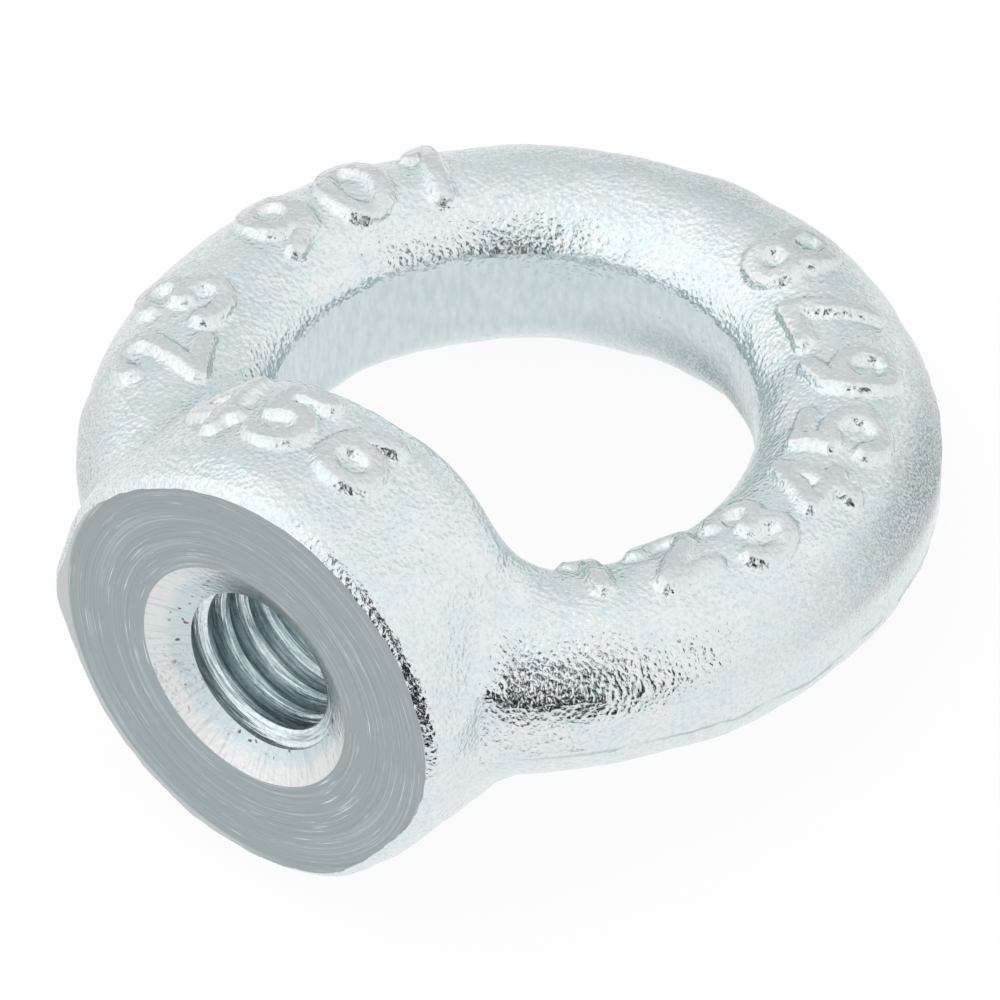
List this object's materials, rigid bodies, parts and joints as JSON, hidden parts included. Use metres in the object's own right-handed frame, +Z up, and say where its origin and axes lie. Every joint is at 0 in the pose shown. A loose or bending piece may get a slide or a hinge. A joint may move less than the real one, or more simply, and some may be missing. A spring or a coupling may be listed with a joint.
{
  "type": "lifting eye nut",
  "caption": "Drop-forged ring with a round boss below it, a flat turned seat and a countersunk tapped hole that runs through into the eye.",
  "frame": {"origin": "on the table, below the mid-plane of the part and halfway along its length; the part lies as it rests, on the shoulder of its boss and the crown of its ring", "axes": "+Y runs level from the seat end to the crown of the ring, +Z is up from the table, and the thread axis lies in the YZ plane, with the seat facing -Y and 12.9 degrees upwards"},
  "size_m": [0.045, 0.0468, 0.0261],
  "materials": {
    "zinc_plated_steel": "drop-forged steel, electroplated with zinc, satin with a fine forged grain; the seat is turned"
  },
  "bodies": {
    "root": {"eye_nut": "zinc_plated_steel"}
  },
  "joints": []
}
